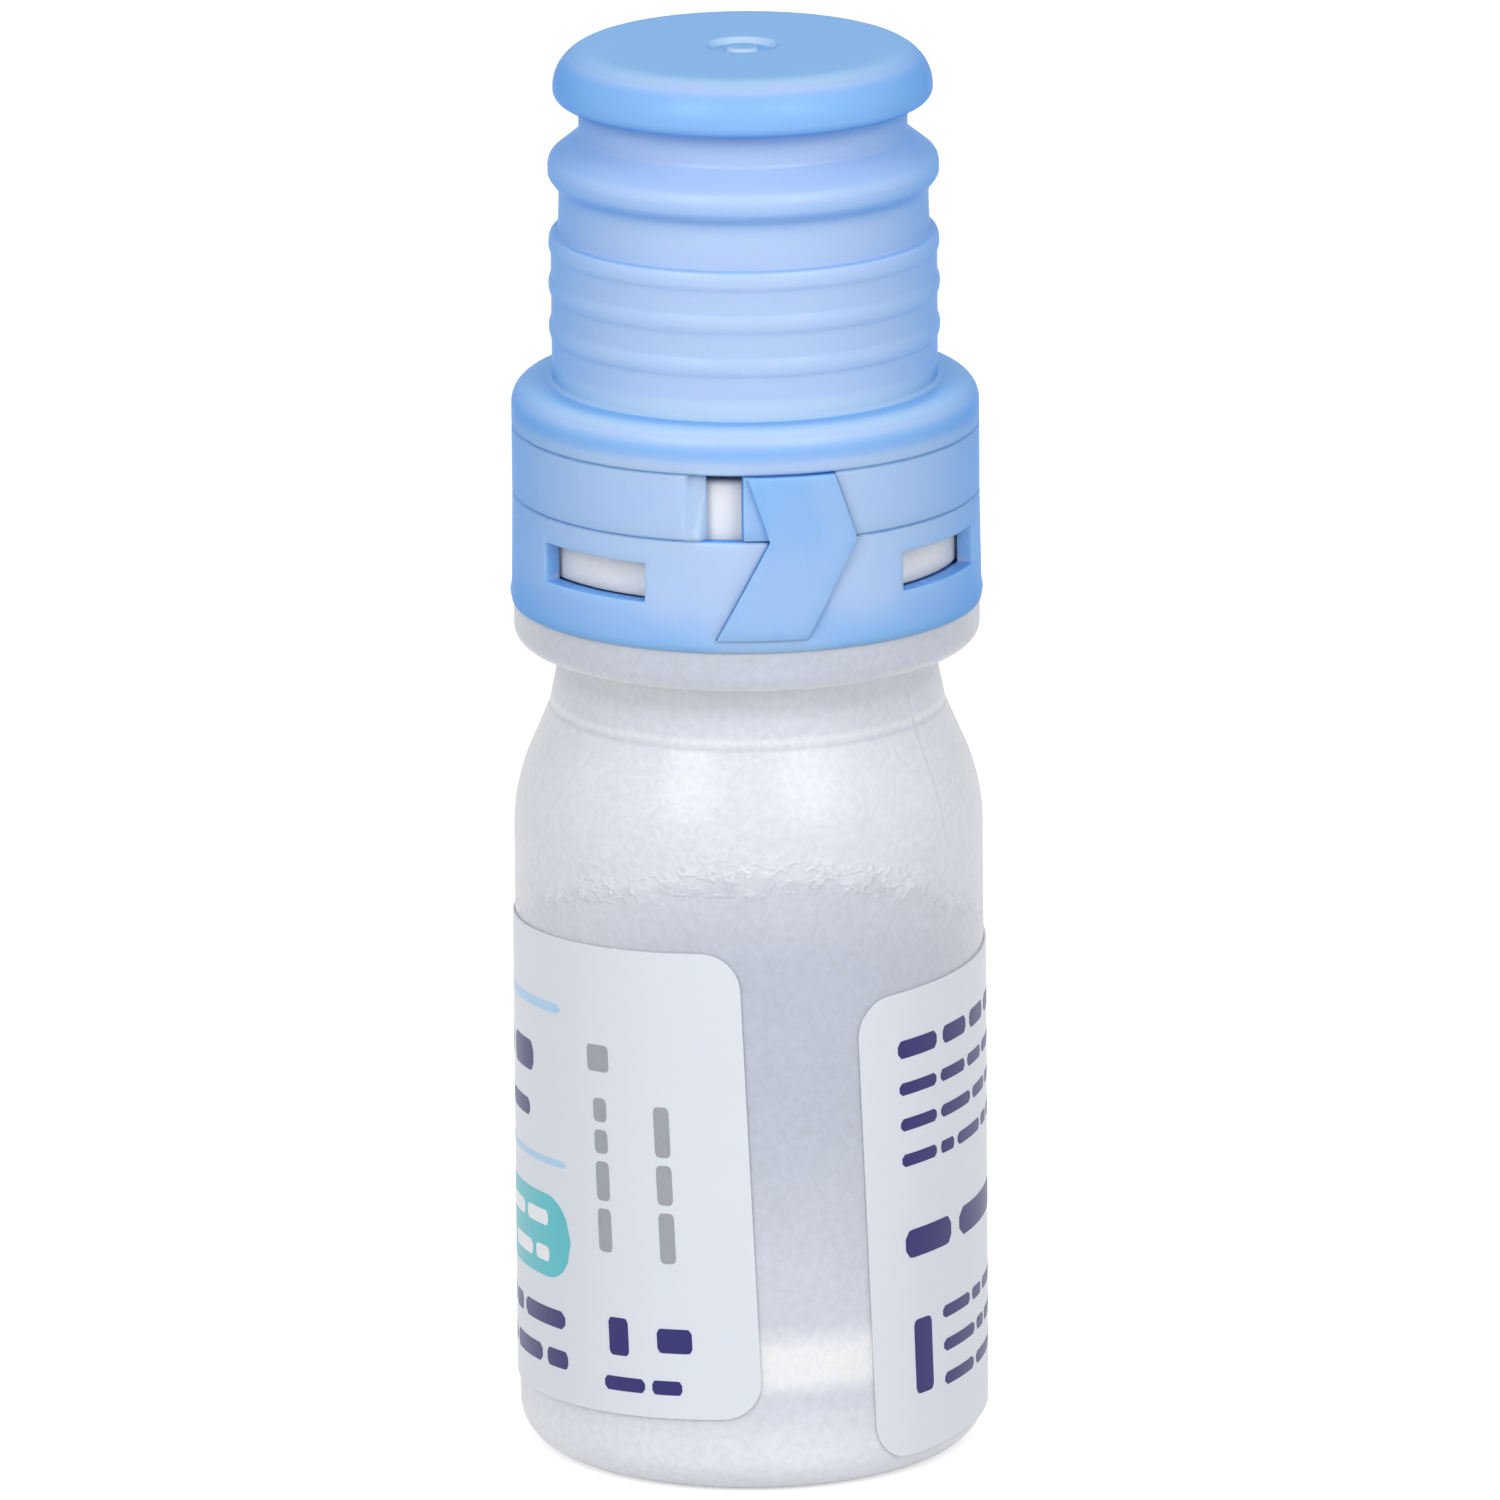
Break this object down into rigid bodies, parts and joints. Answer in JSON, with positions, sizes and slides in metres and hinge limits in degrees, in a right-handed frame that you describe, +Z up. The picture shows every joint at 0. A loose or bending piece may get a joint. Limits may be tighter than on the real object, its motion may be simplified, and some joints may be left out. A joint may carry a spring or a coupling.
{
  "type": "eye drop bottle",
  "caption": "Frosted squeeze bottle of eye drops with a wrap-around label, filter dropper head, tear-off strip with pull tab, and a ribbed pull-off cap.",
  "frame": {"origin": "centre of the standing ring under the base", "axes": "+Z up along the bottle's axis, the front with the label's gap and the pull tab towards -Y"},
  "size_m": [0.0242, 0.0242, 0.0732],
  "materials": {
    "frosted_bottle": "frosted translucent polyethylene",
    "clear_solution": "clear watery liquid",
    "label_film": "satin white film",
    "white_dropper": "satin white moulded plastic",
    "membrane_white": "fine microporous film",
    "porous_white": "sintered porous plastic",
    "closure_blue": "translucent light blue moulded plastic"
  },
  "bodies": {
    "bottle_unit": {"bottle": "frosted_bottle", "eye_drop_solution": "clear_solution", "wrap_label": "label_film", "dropper_head": "white_dropper", "filter_membrane": "membrane_white", "membrane_support": "white_dropper", "flow_pad": "porous_white", "retaining_ring": "closure_blue", "tear_strip": "closure_blue"},
    "cap_unit": {"cap": "closure_blue"},
    "tab_unit": {"pull_tab": "closure_blue"}
  },
  "joints": [
    {"name": "cap_pull_off", "type": "slide", "parent": "bottle_unit", "child": "cap_unit", "axis": [0, 0, 1], "range_m": [0, 0.02]},
    {"name": "tab_lift", "type": "hinge", "parent": "bottle_unit", "child": "tab_unit", "pos_m": [0.00499, -0.01092, 0.05192], "axis": [-0.2988, -0.1365, 0.9445], "range_deg": [0, 80]}
  ]
}
